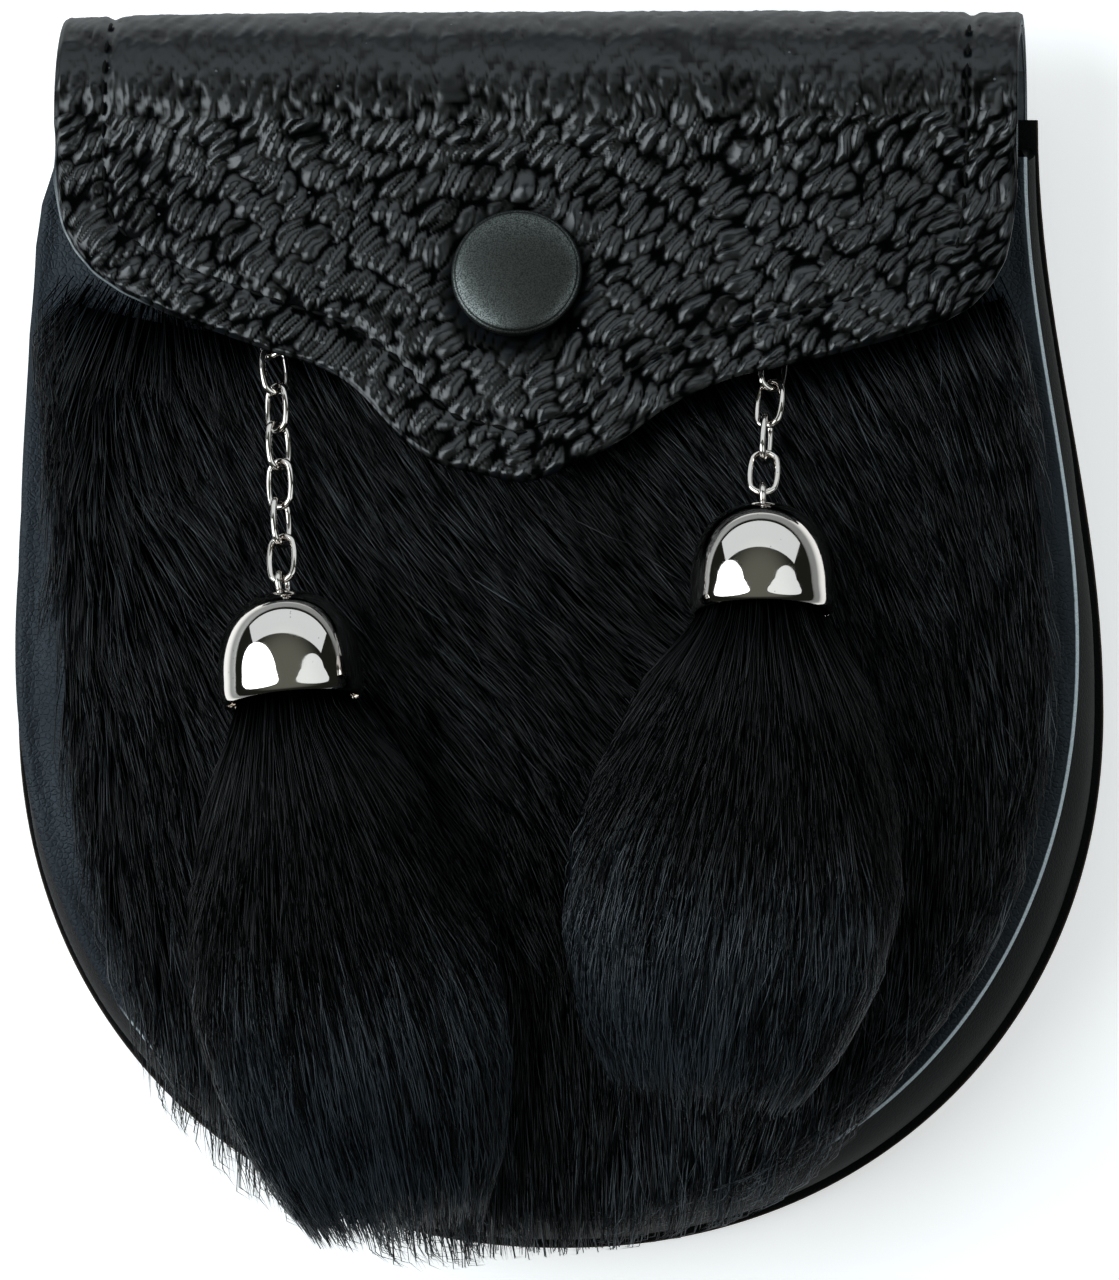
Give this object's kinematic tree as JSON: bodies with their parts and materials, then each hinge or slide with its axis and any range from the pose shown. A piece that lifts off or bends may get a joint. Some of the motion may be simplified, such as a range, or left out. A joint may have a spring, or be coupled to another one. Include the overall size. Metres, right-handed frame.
{
  "type": "sporran pouch",
  "caption": "Small day sporran: domed leather pouch faced with fur, grained flap with press snap, two fur tassels on chains with chromed bell caps",
  "frame": {"origin": "middle of the belt loop's flat outer face, which rests on the surface", "axes": "+X to the pouch's right as seen from its front, +Y up the pouch to the fold of its flap, +Z out of its front"},
  "size_m": [0.1552, 0.177, 0.0588],
  "materials": {
    "flap_leather": "black pebble-grained leather, semi-gloss on the tops of the grain",
    "lining_leather": "thin undyed lining split, pale at its cut edge",
    "panel_leather": "black fine-grained leather, creased where it is moulded, pale raw cut edge",
    "smooth_leather": "smooth matte black leather, slightly brown at its rim",
    "fur": "long black dyed rabbit fur with a blue-grey sheen",
    "chrome": "polished chrome plate",
    "gunmetal": "matte dark gunmetal with a fine speckle"
  },
  "bodies": {
    "root": {"back_panel": "smooth_leather", "belt_loop": "smooth_leather", "gusset": "smooth_leather", "front_panel": "panel_leather", "fur_panel": "fur", "flap": "flap_leather", "flap_lining": "lining_leather", "snap_cap": "gunmetal", "snap_post": "chrome", "chain_staple_left": "chrome", "chain_link_left_1": "chrome", "chain_link_left_2": "chrome", "chain_link_left_3": "chrome", "chain_link_left_4": "chrome", "chain_link_left_5": "chrome", "chain_link_left_6": "chrome", "chain_link_left_7": "chrome", "bell_left": "chrome", "tassel_left": "fur", "chain_staple_right": "chrome", "chain_link_right_1": "chrome", "chain_link_right_2": "chrome", "chain_link_right_3": "chrome", "chain_link_right_4": "chrome", "chain_link_right_5": "chrome", "bell_right": "chrome", "tassel_right": "fur"}
  },
  "joints": []
}
